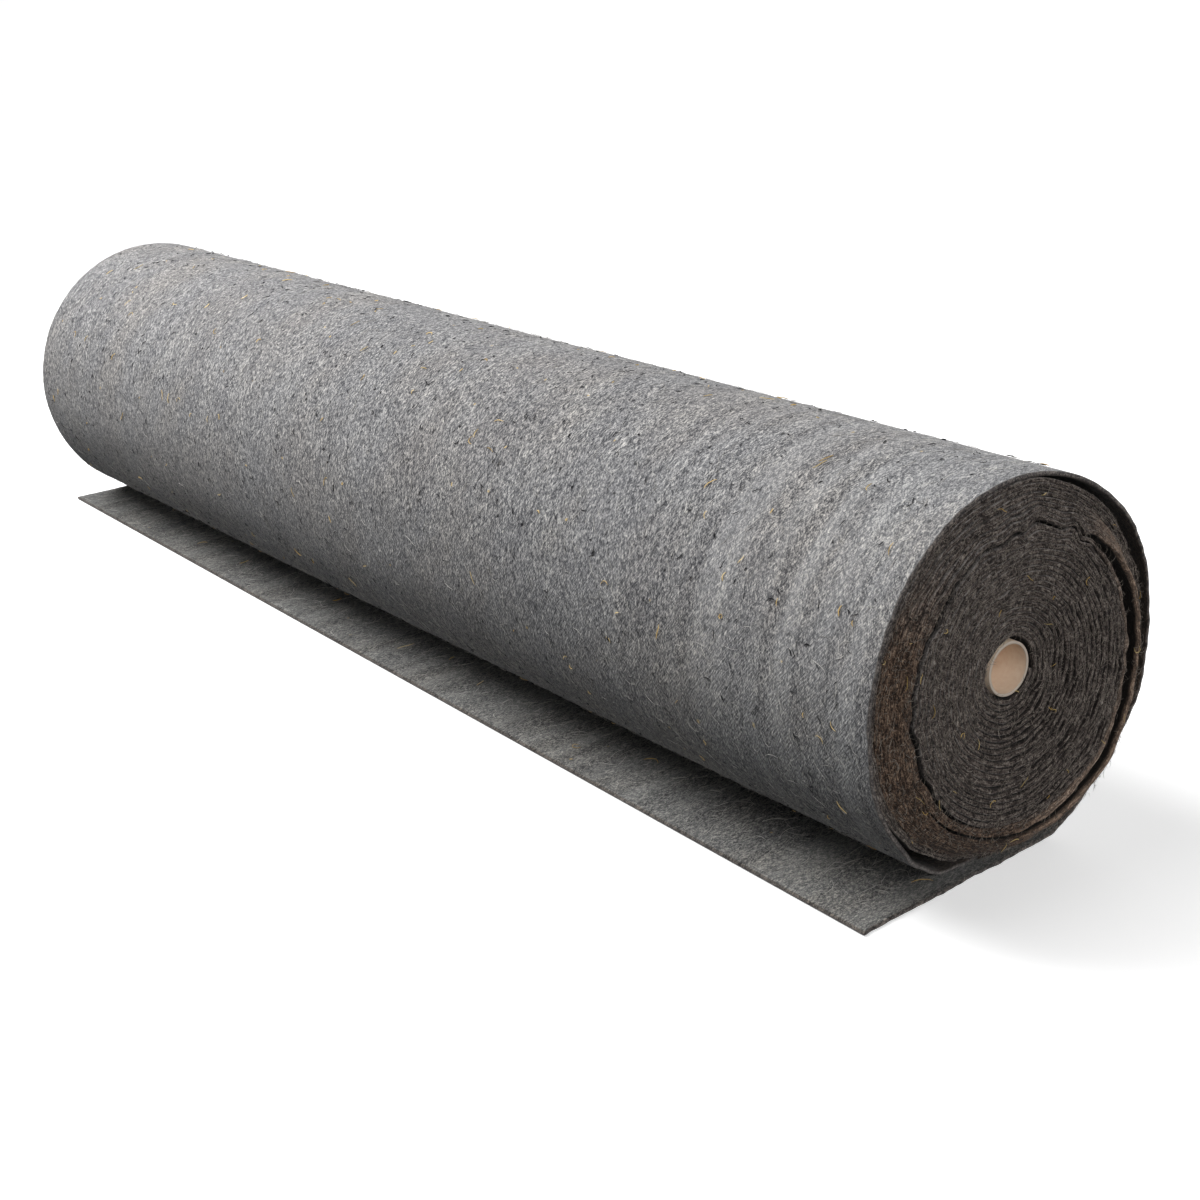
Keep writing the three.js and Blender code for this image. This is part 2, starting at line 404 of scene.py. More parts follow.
def flushness(base, angle):
    """How smoothly the layers' edges are felted together, from 0 to 1."""
    turned = np.radians(angle)
    y, z = base * np.cos(turned), base * np.sin(turned)
    patchy = PATCH_LEVEL + PATCH_SWING * ripple_2d(y, z, PATCH_SIZE, PATCH_SIZE, seed=91)
    patchy = patchy.clip(0.05, 0.9)
    below = inside_band(onwards(angle), OPEN_ANGLES) * (1 - smooth_step(base, *OPEN_RADII))
    patchy = patchy * (1 - OPENING * below)
    return np.maximum(patchy, np.maximum(left_band(base, angle), right_band(base, angle)))


def spiral():
    """The wound sheet's steps: their layer, angle, even radius and length from the seam."""
    turns = layer_turns()
    layer = np.floor(turns + 1e-9)
    angle = SEAM_ANGLE + 360 * (turns - layer)
    base = WOUND_RADIUS + TURN_PITCH - LAYER_PITCH * turns
    length = np.concatenate([[0], np.cumsum(2 * math.pi * np.diff(turns) * base[1:])])
    return layer, angle, base, length


def layer_radii(base, layer, angle, end):
    """A layer's outer and inner radius at one end of the roll."""
    gap = LAYER_GAP * (1 - FELTED_GAP * flushness(base, angle))
    outer = layer_surface(base, layer, angle, end)
    inner = layer_surface(base - LAYER_PITCH, layer, angle, end) + gap
    return outer, np.maximum(inner, CORE_RADIUS + GAP)


def edge_place(base, angle, length, end, share=0.5):
    """Where a layer's cut edge stands along the roll, from the roll's middle."""
    sign = 1 if end == "near" else -1
    flush = flushness(base, angle)
    out = sum(ripple(length, period, seed + sign) * height for period, height, seed in EDGE_WAVES)
    out = out * (1 - FELTED_WAVES * flush)
    base = base - LAYER_PITCH * (0.5 + (share - 0.5) * flush)
    out = out + eased(END_RELIEF, end, base, "radius")
    if end == "near":
        slope = 1 - smooth_step(base, *RIGHT_BAND_SLOPE)
        out = out + RIGHT_BAND_RISE * right_band(base, angle) * slope
    turned = np.radians(angle)
    y, z = base * np.cos(turned), base * np.sin(turned)
    out = out + ripple_2d(y, z, END_BUMP_SIZE, END_BUMP_SIZE, seed=41 + sign) * END_BUMP
    drift = smooth_step(base, FADE_RADIUS, WOUND_RADIUS) * eased(WINDING_DRIFT, "along", angle)
    return sign * (HALF_WIDTH + out) + drift


def layer_rise(base):
    """How far a layer's middle lies over the outer turns' middle."""
    outward = (base - CORE_RADIUS) / (WOUND_RADIUS - CORE_RADIUS)
    return CORE_RISE * (1 - np.clip(outward, 0, 1))


def wind_fleece():
    """The wound fleece: a closed strip of layers with the cut edges' profile at both ends."""
    layer, angle, base, length = spiral()
    turned = np.radians(angle)
    floor = np.where(layer == 0, TURN_FLOOR, 0)
    depth = ROUNDING + ROUNDING_SWING * ripple(length, period=30, seed=5)
    depth = depth.clip(0.25, 1.5) * (1 - FELTED_ROUNDING * flushness(base, angle))
    edges = {}
    rows, across, shares = [], [], []
    for end, sign in (("near", 1), ("far", -1)):
        outer, inner = layer_radii(base, layer, angle, end)
        edges[end] = edge_place(base, angle, length, end)
        for share, set_back in LAYER_PROFILE[::sign]:
            radius = outer + (inner - outer) * share
            edge = edge_place(base, angle, length, end, share)
            rows.append((edge - sign * set_back * depth, radius))
            across.append((0 if sign > 0 else ROLL_WIDTH) + sign * share * SHEET)
            shares.append(share)
    for values in (rows, across, shares):
        values.append(values[0])
    points = []
    for x, radius in rows:
        z = AXIS_HEIGHT + layer_rise(base) + radius * np.sin(turned)
        points.append(placed(x, radius * np.cos(turned), np.maximum(z, floor)))
    piece = make_grid("fleece_windings", len(base), len(rows))
    step, row = shape_grid(piece, len(base), len(rows), np.stack(points, axis=1))
    places = np.stack([edges["near"] + MIDDLE_X, edges["far"] + MIDDLE_X, base], axis=1) * MM
    add_measure(piece, "edge_places", places[step])
    add_measure(piece, "layer_share", np.array(shares)[row])
    bands = [flushness(base, angle), left_band(base, angle), right_band(base, angle)]
    add_measure(piece, "bands", np.stack(bands, axis=1)[step])
    add_cloth_map(piece, np.array(across)[row] * MM, length[step] * MM)
    face_outwards(piece)
    return piece


# The loose end: the tail on the floor, the ramp behind the roll and the slack last turn
TAIL_STEPS = 60
RAMP_STEPS = 30
TURN_STEPS = 300
ACROSS_STEPS = 70
FRAYED_STEPS = 3  # at each of the two short ends


def winding_radius(angle, place):
    """Radius of the winding under the last turn, place going from the far end to the near."""
    turned = (angle - SEAM_ANGLE) / 360
    far, near = (eased(OUTLINE, "dent_" + end, angle) for end in ("far", "near"))
    return WOUND_RADIUS + TURN_PITCH * (1 - turned) - (far + (near - far) * place**2)


def blend_ends(pair, place):
    """A value between the far end's and the near end's."""
    return pair["far"] + (pair["near"] - pair["far"]) * place


def bezier(start, first, second, end, share):
    rest = 1 - share
    return (
        start * rest**3
        + first * 3 * rest**2 * share
        + second * 3 * rest * share**2
        + end * share**3
    )


def sheet_line(place):
    """Middle line of the loose sheet at a place across it, with its side drift."""
    share = np.linspace(0, 1, TAIL_STEPS + 1)
    front, lift = blend_ends(TAIL_FRONT, place), blend_ends(TAIL_LIFT, place)
    tail_y = front + (lift - front) * share
    tail_z = np.full_like(tail_y, SHEET / 2)
    drift_front, drift_lift = blend_ends(TAIL_DRIFT_FRONT, place), blend_ends(TAIL_DRIFT_LIFT, place)
    tail_drift = drift_front + (drift_lift - drift_front) * share
    angle = np.linspace(TURN_START, TURN_END, TURN_STEPS + 1)
    far, near = (eased(OUTLINE, "slack_" + end, angle) for end in ("far", "near"))
    radius = winding_radius(angle, place) + far + (near - far) * place**2 + SHEET / 2
    turn_y = radius * np.cos(np.radians(angle))
    turn_y[-1] = -GAP
    turn_z = np.maximum(AXIS_HEIGHT + radius * np.sin(np.radians(angle)), TURN_FLOOR + SHEET / 2)
    drift_far, drift_near = (eased(EDGE_DRIFT, end, angle) for end in ("far", "near"))
    turn_drift = drift_far + (drift_near - drift_far) * place
    ahead = np.array([turn_y[1] - turn_y[0], turn_z[1] - turn_z[0]])
    ahead = ahead / np.linalg.norm(ahead)
    share = np.linspace(0, 1, RAMP_STEPS + 1)[1:-1]
    ramp_y = bezier(lift, lift + LIFT_BEND, turn_y[0] - RAMP_REACH * ahead[0], turn_y[0], share)
    ramp_z = bezier(SHEET / 2, SHEET / 2, turn_z[0] - RAMP_REACH * ahead[1], turn_z[0], share)
    ramp_drift = drift_lift + (turn_drift[0] - drift_lift) * share
    return (
        np.concatenate([tail_y, ramp_y, turn_y]),
        np.concatenate([tail_z, ramp_z, turn_z]),
        np.concatenate([tail_drift, ramp_drift, turn_drift]),
    )


# Profile of the loose end's cut edge: place through the thickness, and depth
EDGE_PROFILE = [(1, 1.1), (0.9, 0.5), (0.62, 0.12), (0, 0), (-0.62, 0.12), (-0.9, 0.5), (-1, 1.1)]
# Its two short ends: distance from the cut, and share of the full thickness there
FRONT_PROFILE = [(0, 0.2), (0.35, 0.6), (0.9, 0.85), (1.6, 0.97), (2.4, 1)]
RIM_STEP = 0.6  # of cloth from row to row round a cut edge
# Waves along its side edges: period and height
RIM_WAVES = ((42, 0.35), (9, 0.22))
RIM_SEEDS = {"near": 71, "far": 75}
# Soft lumps of its outer side, which fade out near the floor
LUMP = 0.22
HIGHEST_LUMP = 0.6
LUMP_SIZES = (130, 70)
LUMP_FADE = (12, 30)


def loose_lines():
    """The sheet's middle line at each place across it, with outward directions."""
    places = np.linspace(0, 1, ACROSS_STEPS + 1)
    lines = [sheet_line(place) for place in places]
    y, z, drift = (np.stack([line[axis] for line in lines]) for axis in range(3))
    along_y, along_z = np.gradient(y, axis=1), np.gradient(z, axis=1)
    size = np.hypot(along_y, along_z)
    run = np.concatenate([np.zeros((len(places), 1)), np.cumsum(size[:, 1:], axis=1)], axis=1)
    return places, y, z, drift, along_z / size, -along_y / size, run


def end_thickness(run):
    """Share of the full thickness near the sheet's two cut ends."""
    from_end = np.minimum(run - run[:, :1], run[:, -1:] - run)
    reach, share = zip(*FRONT_PROFILE)
    return np.interp(from_end, reach, share)


def with_end_steps(values, run):
    """Adds close steps at both cut ends of every line."""
    close = np.array([reach for reach, _ in FRONT_PROFILE[:-1]])
    added = []
    for value, line in zip(values, run):
        wanted = np.concatenate([close, line[1:-1], line[-1] - close[::-1]])
        added.append(np.interp(wanted, line, value))
    return np.stack(added)


def lay_loose_end():
    """The tail and the last turn: one closed sheet with worn, slightly wavy cut edges."""
    places, y, z, drift, out_y, out_z, run = loose_lines()
    y, z, drift, out_y, out_z = (with_end_steps(part, run) for part in (y, z, drift, out_y, out_z))
    run = with_end_steps(run, run)
    x = (places[:, None] - 0.5) * ROLL_WIDTH + drift
    thick = end_thickness(run) * SHEET / 2
    lumps = LUMP + LUMP * ripple_2d(x, run, *LUMP_SIZES, seed=61)
    off_edge = smooth_step(places[:, None] * (1 - places[:, None]), 0, 0.01)
    lumps = smooth_step(z, *LUMP_FADE) * lumps.clip(0, HIGHEST_LUMP) * off_edge
    last = len(places) - 1
    inset = EDGE_PROFILE[0][1]
    insets = {0: inset, last: -inset}
    rows = [(index, 1, insets.get(index, 0), lumps[index]) for index in range(last + 1)]
    rows += [(last, through, -depth, 0) for through, depth in EDGE_PROFILE[1:-1]]
    rows += [(index, -1, insets.get(index, 0), lumps[index]) for index in range(last, -1, -1)]
    rows += [(0, through, depth, 0) for through, depth in EDGE_PROFILE[-2:0:-1]]
    rows.append(rows[0])
    points, across, side, rim = [], [], [], []
    place = 0
    for index, through, set_back, lift in rows:
        if index in insets:
            seed = RIM_SEEDS["near" if index else "far"]
            for number, (period, height) in enumerate(RIM_WAVES):
                set_back = set_back + ripple(run[index], period, seed + number) * height
        reach = through * thick[index] + lift
        points.append(
            placed(
                x[index] + set_back,
                y[index] + out_y[index] * reach,
                z[index] + out_z[index] * reach,
            )
        )
        side.append((through + 1) / 2)
        rim.append(abs(through) < 1)
        across.append(place)
        place += ROLL_WIDTH / ACROSS_STEPS if abs(through) == 1 else RIM_STEP
    steps = run.shape[1]
    piece = make_grid("fleece_loose_end", steps, len(rows))
    step, row = shape_grid(piece, steps, len(rows), np.stack(points, axis=1))
    end_step = (step < FRAYED_STEPS) | (step >= steps - FRAYED_STEPS)
    add_measure(piece, "outer_side", np.array(side)[row])
    add_measure(piece, "cut_rim", np.maximum(np.array(rim)[row], end_step))
    add_measure(piece, "turned", (np.arange(steps) / steps)[step])
    add_cloth_map(piece, np.array(across)[row] * MM, run[ACROSS_STEPS // 2][step] * MM)
    face_outwards(piece)
    return piece


CORE_SIDES = 160
CORE_RIM = 0.35  # of wear on the tube's edges
CORE_CORNER = math.radians(50)  # past which two of its faces meet in an edge


def make_core():
    """The cardboard tube, open from end to end, with softly worn rims."""
    clear_selection()
    bpy.ops.mesh.primitive_cylinder_add(
        vertices=CORE_SIDES,
        radius=CORE_RADIUS * MM,
        depth=CORE_LENGTH * MM,
        end_fill_type="NOTHING",
    )
    piece = bpy.context.object
    piece.name = "core_tube"
    piece.data.name = "core_tube"
    turn = Matrix.Rotation(math.radians(90), 4, "Y")
    middle = Vector((MIDDLE_X, AXIS_Y, CORE_HEIGHT)) * MM
    piece.data.transform(Matrix.Translation(middle) @ turn)
    face_outwards(piece, close=False)
    wall = piece.modifiers.new("wall", "SOLIDIFY")
    wall.thickness = CORE_WALL * MM
    wall.offset = -1
    rim = piece.modifiers.new("rim", "BEVEL")
    rim.width = CORE_RIM * MM
    rim.segments = 2
    rim.limit_method = "ANGLE"
    rim.angle_limit = CORE_CORNER
    finish_modifiers(piece)
    face_outwards(piece)
    bpy.ops.object.shade_smooth_by_angle(angle=CORE_CORNER)
    return piece


# Loose fibres, straw and fuzz: each a thin three-sided strand, joined by the hundred
# Thickness along a strand: place from root to tip, and share of the full thickness
TAPER = [(0, 0.55), (0.25, 1), (0.75, 0.9), (1, 0.4)]
STEEP = 0.8  # share of a strand's direction that goes upwards
# On the sheet: its turns in degrees from ring to ring, clear space at the sheet's side edges
# for its root and its tip, and height over the face, so that lumps don't bury it
SHEET_CURL = 26
SHEET_KINK = 14
ROOT_MARGIN = 8
TIP_MARGIN = 3
LAY_ABOVE = 0.5
# On the end: how far it strays from the layers' direction, and its turns; the radius inside
# which it stays, the depth of its root in the cut edge and the lowest height of its tip
END_STRAY = 48
END_CURL = 34
END_KINK = 16
END_RIM = 97
END_SINK = 0.35
END_FLOOR = 7


def join_strands(name, paths, radius):
    """One closed mesh of strands along paths[strand, ring, 3], in metres."""
    count, rings, _ = paths.shape
    ahead = np.gradient(paths, axis=1)
    ahead /= np.linalg.norm(ahead, axis=2, keepdims=True) + 1e-12
    helper = np.where(np.abs(ahead[:, :, 2:]) > STEEP, [[[1.0, 0, 0]]], [[[0, 0, 1.0]]])
    sideways = np.cross(ahead, helper)
    sideways /= np.linalg.norm(sideways, axis=2, keepdims=True)
    upwards = np.cross(sideways, ahead)
    taper = np.interp(np.linspace(0, 1, rings), *zip(*TAPER))
    reach = (np.asarray(radius)[:, None] * taper)[:, :, None]
    corners = []
    for turn in (0, 120, 240):
        turned = math.radians(turn)
        corners.append(paths + reach * (sideways * math.cos(turned) + upwards * math.sin(turned)))
    points = np.stack(corners, axis=2).reshape(-1, 3)
    first = np.arange(count)[:, None, None] * rings * 3
    ring = np.arange(rings - 1)[None, :, None] * 3
    near = np.arange(3)[None, None, :]
    far = (near + 1) % 3
    start = first + ring
    quads = np.stack([start + near, start + near + 3, start + far + 3, start + far], axis=3)
    caps = first[:, :, 0] + np.array([[0, 1, 2]])
    tips = first[:, :, 0] + (rings - 1) * 3 + np.array([[2, 1, 0]])
    faces = quads.reshape(-1, 4).tolist() + caps.tolist() + tips.tolist()
    mesh = bpy.data.meshes.new(name)
    mesh.from_pydata(points.tolist(), [], faces)
    piece = bpy.data.objects.new(name, mesh)
    bpy.context.scene.collection.objects.link(piece)
    shades = np.random.default_rng(seed=3).uniform(0, 1, count)
    add_measure(piece, "strand_shade", np.repeat(shades, rings * 3))
    face_outwards(piece)
    return piece


def sheet_points(x, along, lift):
    """Points over the loose end's line, lift millimetres from its middle."""
    place = (x / ROLL_WIDTH + 0.5).clip(0, 1) * ACROSS_STEPS
    row = np.floor(place).astype(int).clip(0, ACROSS_STEPS - 1)
    share = place - row
    column = along * (LOOSE_Y.shape[1] - 1)
    step = np.floor(column).astype(int).clip(0, LOOSE_Y.shape[1] - 2)
    rest = column - step

    def between(grid):
        near = grid[row, step] * (1 - rest) + grid[row, step + 1] * rest
        far = grid[row + 1, step] * (1 - rest) + grid[row + 1, step + 1] * rest
        return near * (1 - share) + far * share

    drift = between(LOOSE_DRIFT)
    y = between(LOOSE_Y) + between(LOOSE_OUT_Y) * lift
    z = between(LOOSE_Z) + between(LOOSE_OUT_Z) * lift
    points = placed((x + drift).ravel(), y.ravel(), z.ravel())
    return points.reshape(x.shape + (3,))


def strands_on_sheet(name, count, length, radius, lift, seed, rings=4, tail=False, spread=40):
    """Strands lying on the loose end's outer face, or on the tail's upper face."""
    random = np.random.default_rng(seed)
    steps = LOOSE_Y.shape[1] - 1
    low, high = (0.004, TAIL_STEPS / steps - 0.01) if tail else (TURN_SHARE, 0.985)
    total = float(LOOSE_RUN[ACROSS_STEPS // 2, -1])
    x = random.uniform(-HALF_WIDTH + ROOT_MARGIN, HALF_WIDTH - ROOT_MARGIN, count)
    along = random.uniform(low, high, count)
    heading = np.radians(random.normal(90, spread, count)) + math.pi * random.integers(0, 2, count)
    bend = np.radians(random.normal(0, SHEET_CURL, count))
    size = random.uniform(*length, count) / (rings - 1)
    width = random.uniform(*radius, count)
    xs, alongs = [x], [along]
    for _ in range(rings - 1):
        x = (x + np.cos(heading) * size).clip(-HALF_WIDTH + TIP_MARGIN, HALF_WIDTH - TIP_MARGIN)
        along = (along + np.sin(heading) * size / total).clip(low, high)
        heading = heading + bend + np.radians(random.normal(0, SHEET_KINK, count))
        xs.append(x)
        alongs.append(along)
    arch = np.sin(np.linspace(0, math.pi, rings))[None, :] * random.uniform(*lift, count)[:, None]
    above = width[:, None] * 0.6 + arch
    height = -(SHEET / 2 + above) if tail else SHEET / 2 + LAY_ABOVE + above
    paths = sheet_points(np.stack(xs, 1), np.stack(alongs, 1), height)
    return join_strands(name, paths, width * MM)


def strands_on_end(name, end, count, length, radius, lift, seed, rings=4):
    """Strands lying over the wound layers' cut edges at one end of the roll."""
    random = np.random.default_rng(seed)
    sign = 1 if end == "near" else -1
    layer, angle, base, arc = spiral()
    outer, inner = layer_radii(base, layer, angle, end)
    edge = edge_place(base, angle, arc, end)
    picked = np.searchsorted(arc, random.uniform(arc[0] + 5, arc[-1] - 5, count))
    radius_here = (outer + (inner - outer) * random.uniform(0.15, 0.85, len(arc)))[picked]
    turned = np.radians(angle[picked])
    y = radius_here * np.cos(turned)
    z = AXIS_HEIGHT + layer_rise(base[picked]) + radius_here * np.sin(turned)
    x = edge[picked] - sign * END_SINK
    heading = turned + math.pi / 2 + np.radians(random.normal(0, END_STRAY, count))
    heading = heading + math.pi * random.integers(0, 2, count)
    bend = np.radians(random.normal(0, END_CURL, count))
    size = random.uniform(*length, count) / (rings - 1)
    width = random.uniform(*radius, count)
    height = random.uniform(*lift, count)
    path = [np.stack([x, y, z], 1)]
    outermost = np.maximum(np.hypot(y, z - AXIS_HEIGHT), END_RIM)
    for ring in range(1, rings):
        y = y + np.cos(heading) * size
        z = z + np.sin(heading) * size
        # a strand that would leave the end turns along its edge
        held = np.minimum(1, (outermost + 0.3 * ring) / np.hypot(y, z - AXIS_HEIGHT))
        y = y * held
        z = AXIS_HEIGHT + (z - AXIS_HEIGHT) * held
        rise = height * math.sin(math.pi * (0.25 + 0.6 * ring / (rings - 1)))
        path.append(np.stack([x + sign * (END_SINK + rise), y, np.maximum(z, END_FLOOR)], 1))
        heading = heading + bend + np.radians(random.normal(0, END_KINK, count))
    path = np.stack(path, 1)
    points = placed(path[..., 0].ravel(), path[..., 1].ravel(), path[..., 2].ravel())
    return join_strands(name, points.reshape(path.shape), width * MM)


windings = wind_fleece()
loose_end = lay_loose_end()
core = make_core()

_, LOOSE_Y, LOOSE_Z, LOOSE_DRIFT, LOOSE_OUT_Y, LOOSE_OUT_Z, LOOSE_RUN = loose_lines()
TURN_SHARE = (TAIL_STEPS + RAMP_STEPS) / (LOOSE_Y.shape[1] - 1)


# Materials. Patterns on the sheets read their cloth map, in metres; the rest read the piece's
# own coordinates.
def add_node(tree, kind, sockets=None, **settings):
    """A shader node whose sockets take a link or a plain value."""
    made = tree.nodes.new("ShaderNode" + kind)
    for name, value in settings.items():
        setattr(made, name, value)
    for socket, value in (sockets or {}).items():
        if isinstance(value, bpy.types.NodeSocket):
            tree.links.new(value, made.inputs[socket])
        else:
            made.inputs[socket].default_value = value
    return made


def calc(tree, operation, *values):
    return add_node(tree, "Math", dict(enumerate(values)), operation=operation).outputs[0]


def remap(tree, value, low, high, to_low=0.0, to_high=1.0, smooth=False):
    made = add_node(
        tree,
        "MapRange",
        {"Value": value, "From Min": low, "From Max": high, "To Min": to_low, "To Max": to_high},
        interpolation_type="SMOOTHSTEP" if smooth else "LINEAR",
    )
    return made.outputs["Result"]


def blend(tree, share, first, second, kind="MIX"):
    made = add_node(tree, "Mix", data_type="RGBA", blend_type=kind)
    for socket, value in (("Factor_Float", share), ("A_Color", first), ("B_Color", second)):
        target = next(item for item in made.inputs if item.identifier == socket)
        if isinstance(value, bpy.types.NodeSocket):
            tree.links.new(value, target)
        elif isinstance(value, tuple):
            target.default_value = (*value, 1)
        else:
            target.default_value = value
    return next(item for item in made.outputs if item.identifier == "Result_Color")


def new_group(name, inputs, outputs):
    tree = bpy.data.node_groups.new(name, "ShaderNodeTree")
    for label, kind in inputs:
        tree.interface.new_socket(name=label, in_out="INPUT", socket_type="NodeSocket" + kind)
    for label, kind in outputs:
        tree.interface.new_socket(name=label, in_out="OUTPUT", socket_type="NodeSocket" + kind)
    source = tree.nodes.new("NodeGroupInput")
    result = tree.nodes.new("NodeGroupOutput")
    return tree, source, result


def make_grain_group():
    """Noise drawn out along one direction: Grain is how often it repeats in a metre."""
    tree, source, result = new_group(
        "drawn_out_grain",
        [
            ("Place", "Vector"),
            ("Turn", "Float"),
            ("Grain", "Vector"),
            ("Seed", "Vector"),
            ("Detail", "Float"),
            ("Distortion", "Float"),
        ],
        [("Tone", "Float")],
    )
    given = source.outputs
    turned = add_node(
        tree,
        "VectorRotate",
        {"Vector": given["Place"], "Angle": given["Turn"]},
        rotation_type="Z_AXIS",
    )
    scaled = add_node(
        tree,
        "VectorMath",
        {0: turned.outputs[0], 1: given["Grain"], 2: given["Seed"]},
        operation="MULTIPLY_ADD",
    )
    noise = add_node(
        tree,
        "TexNoise",
        {
            "Vector": scaled.outputs[0],
            "Scale": 1.0,
            "Detail": given["Detail"],
            "Distortion": given["Distortion"],
        },
    )
    tree.links.new(noise.outputs["Fac"], result.inputs["Tone"])
    return tree


grain_group = make_grain_group()


def stretched(tree, place, turn, across, along, seed, detail=1.0, distortion=0.0):
    """The drawn-out grain, across and along being its size in millimetres."""
    made = add_node(
        tree,
        "Group",
        {
            "Place": place,
            "Turn": math.radians(turn),
            "Grain": (1 / (across * MM), 1 / (along * MM), 1 / (across * MM)),
            "Seed": (seed, seed * 0.7, seed * 1.3),
            "Detail": detail,
            "Distortion": distortion,
        },
        node_tree=grain_group,
    )
    return made.outputs["Tone"]


def summed_grains(tree, place, grains, distortion=0.0):
    """A sum of grains, each given by its turn, size across and along, seed and weight."""
    total = None
    for turn, across, along, seed, weight in grains:
        grain = stretched(tree, place, turn, across, along, seed, distortion=distortion)
        grain = calc(tree, "MULTIPLY", grain, weight)
        total = grain if total is None else calc(tree, "ADD", total, grain)
    return total


def with_hairs(tree, place, fibres, hairs, distortion):
    """Fibres with hairs over them: turn, size, seed, and a pale or dark pull for each sort."""
    for turn, across, along, seed, pull in hairs:
        noise = stretched(tree, place, turn, across, along, seed, distortion=distortion)
        off_middle = calc(tree, "ABSOLUTE", calc(tree, "SUBTRACT", noise, 0.5))
        fibres = calc(tree, "ADD", fibres, remap(tree, off_middle, 0.0, 0.03, pull, 0.0))
    return fibres


def make_fleck_group():
    """Scattered flecks: Cell is their spacing in metres, Size and Share from 0 to 1."""
    tree, source, result = new_group(
        "scattered_flecks",
        [("Place", "Vector"), ("Cell", "Float"), ("Size", "Float"), ("Share", "Float")],
        [("Mask", "Float")],
    )
    each = add_node(tree, "Math", {0: 1.0, 1: source.outputs["Cell"]}, operation="DIVIDE")
    scaled = add_node(
        tree, "VectorMath", {0: source.outputs["Place"], "Scale": each.outputs[0]}, operation="SCALE"
    )
    wander = add_node(tree, "TexNoise", {"Vector": scaled.outputs[0], "Scale": 5.0, "Detail": 1.0})
    wander = add_node(
        tree,
        "VectorMath",
        {0: wander.outputs["Color"], 1: (0.16, 0.3, 0.16), 2: scaled.outputs[0]},
        operation="MULTIPLY_ADD",
    )
    cells = add_node(tree, "TexVoronoi", {"Vector": wander.outputs[0], "Scale": 1.0})
    picked = add_node(tree, "SeparateColor", {"Color": cells.outputs["Color"]})
    chosen = calc(tree, "LESS_THAN", picked.outputs["Red"], source.outputs["Share"])
    edge = calc(tree, "MULTIPLY", source.outputs["Size"], 0.6)
    spot = add_node(
        tree,
        "MapRange",
        {
            "Value": cells.outputs["Distance"],
            "From Min": edge,
            "From Max": source.outputs["Size"],
            "To Min": 1.0,
            "To Max": 0.0,
        },
    )
    tree.links.new(calc(tree, "MULTIPLY", chosen, spot.outputs["Result"]), result.inputs["Mask"])
    return tree


fleck_group = make_fleck_group()


def scatter_flecks(tree, place, colour, sorts):
    """Flecks over a colour: spacing in metres, size, share, tint and strength of each sort."""
    for cell, size, share, tint, strength in sorts:
        made = add_node(
            tree,
            "Group",
            {"Place": place, "Cell": cell, "Size": size, "Share": share},
            node_tree=fleck_group,
        )
        mask = calc(tree, "MULTIPLY", made.outputs["Mask"], strength)
        colour = blend(tree, mask, colour, tint)
    return colour


def tinted(tree, colour, tint, share=1.0):
    """A colour multiplied by a tint, or by a share of it."""
    return blend(tree, share, colour, tint, "MULTIPLY")


def new_material(name, colour, roughness, sheen=0.0):
    material = bpy.data.materials.new(name)
    material.use_nodes = True
    material.diffuse_color = (*colour, 1)
    shader = material.node_tree.nodes["Principled BSDF"]
    shader.inputs["Base Color"].default_value = (*colour, 1)
    shader.inputs["Roughness"].default_value = roughness
    shader.inputs["Specular IOR Level"].default_value = 0.2
    shader.inputs["Sheen Weight"].default_value = sheen
    return material, material.node_tree, shader


def ramp(tree, value, stops):
    made = tree.nodes.new("ShaderNodeValToRGB")
    while len(made.color_ramp.elements) < len(stops):
        made.color_ramp.elements.new(0.5)
    for element, (place, colour) in zip(made.color_ramp.elements, stops):
        element.position = place
        element.color = (*colour, 1)
    tree.links.new(value, made.inputs["Fac"])
    return made.outputs["Color"]


def attribute(tree, name, socket="Fac"):
    return add_node(tree, "Attribute", attribute_name=name).outputs[socket]


def raise_fibres(tree, shader, place, across, along, distance):
    """Raises crossing fibres a little, from two fine grains."""
    first = stretched(tree, place, 14, across, along, 3)
    second = stretched(tree, place, -38, across, along, 23)
    height = calc(tree, "ADD", first, second)
    made = add_node(tree, "Bump", {"Height": height, "Distance": distance, "Strength": 1.0})
    tree.links.new(made.outputs["Normal"], shader.inputs["Normal"])


